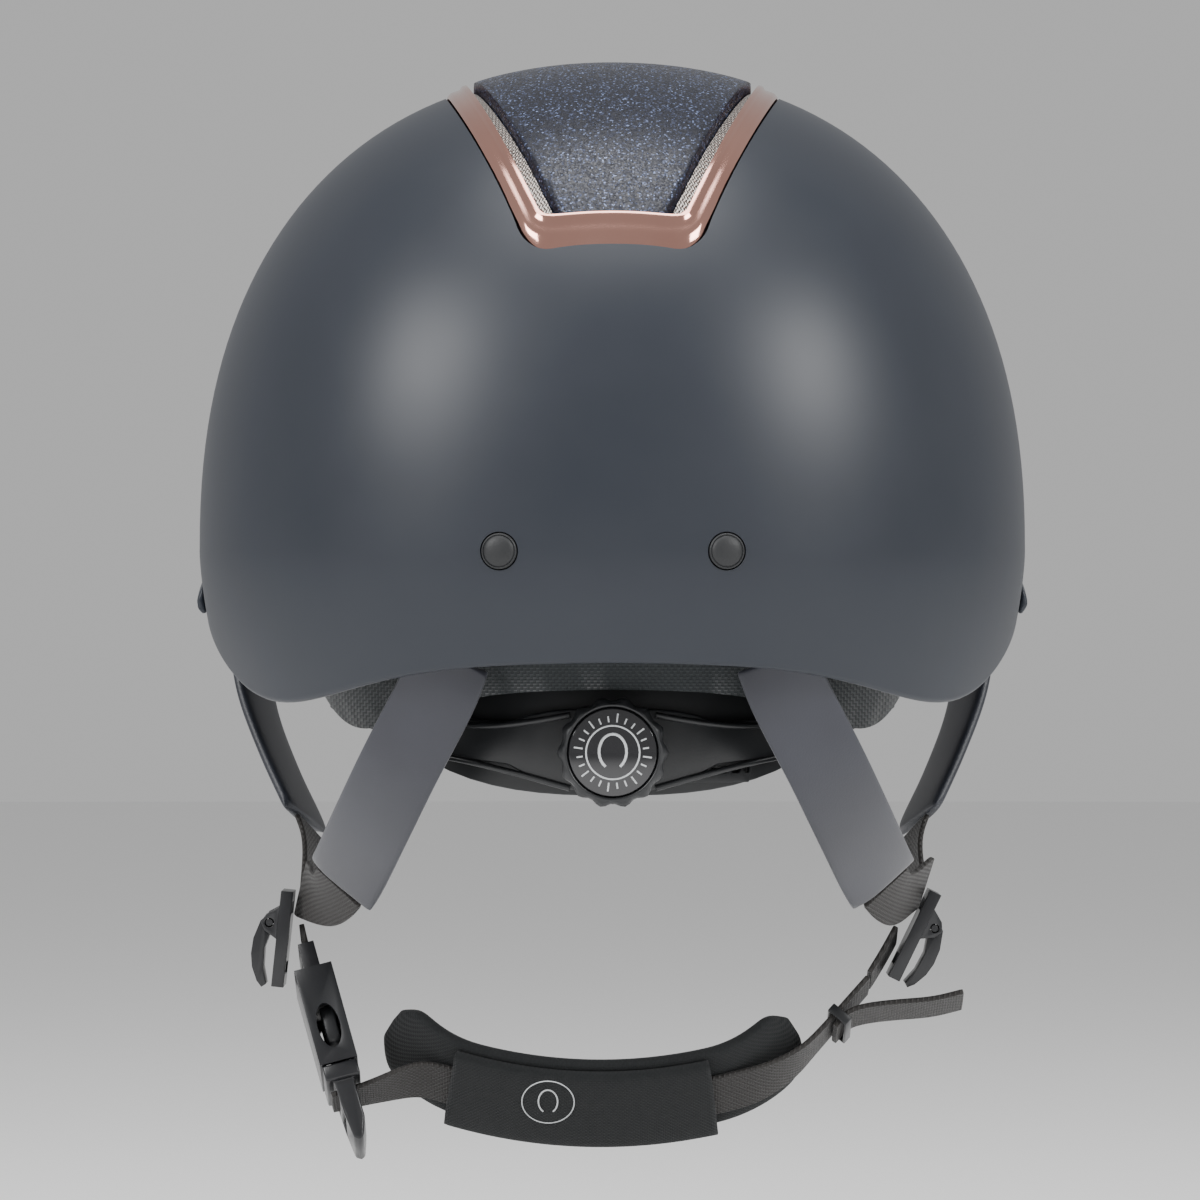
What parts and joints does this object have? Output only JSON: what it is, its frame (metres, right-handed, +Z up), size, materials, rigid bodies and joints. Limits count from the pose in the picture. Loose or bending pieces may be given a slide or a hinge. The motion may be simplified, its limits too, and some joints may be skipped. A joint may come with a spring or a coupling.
{
  "type": "equestrian riding helmet",
  "caption": "Matte riding helmet with a peak, glitter crown panel in a rose gold frame, size dial, strap dividers and a buckled chin strap with a pad.",
  "frame": {"origin": "centre of the crown pad's flat underside, where the helmet rests on the head", "axes": "+Z up, +Y the wearer's forward direction, +X the wearer's right"},
  "size_m": [0.2176, 0.2862, 0.2866],
  "materials": {
    "shell": "matte slate navy paint",
    "glitter": "dark navy glitter",
    "rose_chrome": "rose gold chrome",
    "steel_mesh": "woven micro mesh",
    "foam": "moulded foam",
    "knit": "black-green knit",
    "plastic": "satin black plastic",
    "gloss": "gloss black",
    "microfibre": "slate grey microfibre",
    "webbing": "brown-black webbing",
    "neoprene": "black neoprene"
  },
  "bodies": {
    "helmet": {"outer_shell": "shell", "peak": "shell", "eps_liner": "foam", "top_panel": "glitter", "panel_frame": "rose_chrome", "vent_mesh_rear_left": "steel_mesh", "vent_mesh_rear_right": "steel_mesh", "vent_mesh_front_left": "steel_mesh", "vent_mesh_front_right": "steel_mesh", "rear_plug_left": "plastic", "rear_plug_right": "plastic", "headband_pad": "knit", "crown_pad": "knit", "cradle": "plastic", "dial_housing": "plastic", "cradle_backing": "plastic", "nape_pad": "knit", "rear_strap_left": "microfibre", "rear_strap_right": "microfibre", "rear_webbing_left": "webbing", "rear_webbing_right": "webbing", "front_sleeve_left": "microfibre", "front_sleeve_right": "microfibre", "front_webbing_left": "webbing", "front_webbing_right": "webbing", "divider_base_left": "plastic", "divider_base_right": "plastic", "divider_pin_left": "plastic", "divider_pin_right": "plastic"},
    "dial": {"dial_knob": "plastic", "dial_cap": "gloss", "dial_pinion": "plastic"},
    "size_band_left": {"size_band_left": "plastic"},
    "size_band_right": {"size_band_right": "plastic"},
    "divider_lever_left": {"divider_lever_left": "plastic"},
    "divider_lever_right": {"divider_lever_right": "plastic"},
    "chin_loop": {"buckle_tab": "webbing", "buckle_female": "plastic", "strap_tab_right": "webbing"},
    "chin_strap": {"chin_webbing": "webbing", "chin_tail": "webbing", "buckle_male": "plastic"},
    "prong_rear": {"prong_rear": "plastic"},
    "prong_front": {"prong_front": "plastic"},
    "strap_keeper": {"strap_keeper": "plastic"},
    "chin_pad": {"chin_pad": "neoprene", "chin_pad_sleeve": "neoprene"}
  },
  "joints": [
    {"name": "dial_turn", "type": "hinge", "parent": "helmet", "child": "dial", "pos_m": [0, -0.0914, -0.1456], "axis": [0, -1, 0], "range_deg": [-115, 115]},
    {"name": "size_band_left_pull", "type": "hinge", "parent": "helmet", "child": "size_band_left", "pos_m": [0, -0.008, -0.1456], "axis": [0, 0, 1], "range_deg": [-7.5, 7.5]},
    {"name": "size_band_right_pull", "type": "hinge", "parent": "helmet", "child": "size_band_right", "pos_m": [0, -0.008, -0.1456], "axis": [0, 0, 1], "range_deg": [-7.5, 7.5]},
    {"name": "divider_lever_left_open", "type": "hinge", "parent": "helmet", "child": "divider_lever_left", "pos_m": [-0.08946, 0.006, -0.19163], "axis": [0, 1, 0], "range_deg": [0, 95]},
    {"name": "divider_lever_right_open", "type": "hinge", "parent": "helmet", "child": "divider_lever_right", "pos_m": [0.08411, 0.006, -0.19317], "axis": [0, -1, 0], "range_deg": [0, 95]},
    {"name": "chin_loop_swing", "type": "hinge", "parent": "helmet", "child": "chin_loop", "pos_m": [0, 0.006, -0.196], "axis": [1, 0, 0], "range_deg": [-8, 50]},
    {"name": "chin_strap_open", "type": "hinge", "parent": "chin_loop", "child": "chin_strap", "pos_m": [0.067, 0.00172, -0.20775], "axis": [0, -0.9397, 0.342], "range_deg": [0, 22]},
    {"name": "prong_rear_press", "type": "hinge", "parent": "chin_strap", "child": "prong_rear", "pos_m": [-0.07107, -0.01347, -0.22785], "axis": [-0.9636, -0.0914, -0.2511], "range_deg": [0, 8], "stiffness_Nm_per_rad": 0.05},
    {"name": "prong_front_press", "type": "hinge", "parent": "chin_strap", "child": "prong_front", "pos_m": [-0.07107, 0.00044, -0.23291], "axis": [0.9636, 0.0914, 0.2511], "range_deg": [0, 8], "stiffness_Nm_per_rad": 0.05},
    {"name": "keeper_slide", "type": "slide", "parent": "chin_strap", "child": "strap_keeper", "axis": [-0.6489, -0.2602, -0.715], "range_m": [0, 0.004]},
    {"name": "chin_pad_slide", "type": "hinge", "parent": "chin_strap", "child": "chin_pad", "pos_m": [-0.003, 0.03456, -0.11754], "axis": [0, 0.9397, -0.342], "range_deg": [-0.8, 2.8]}
  ],
  "couplings": [
    {"joint": "size_band_left_pull", "follows": "dial_turn", "ratio": -0.060893},
    {"joint": "size_band_right_pull", "follows": "dial_turn", "ratio": 0.060893}
  ]
}
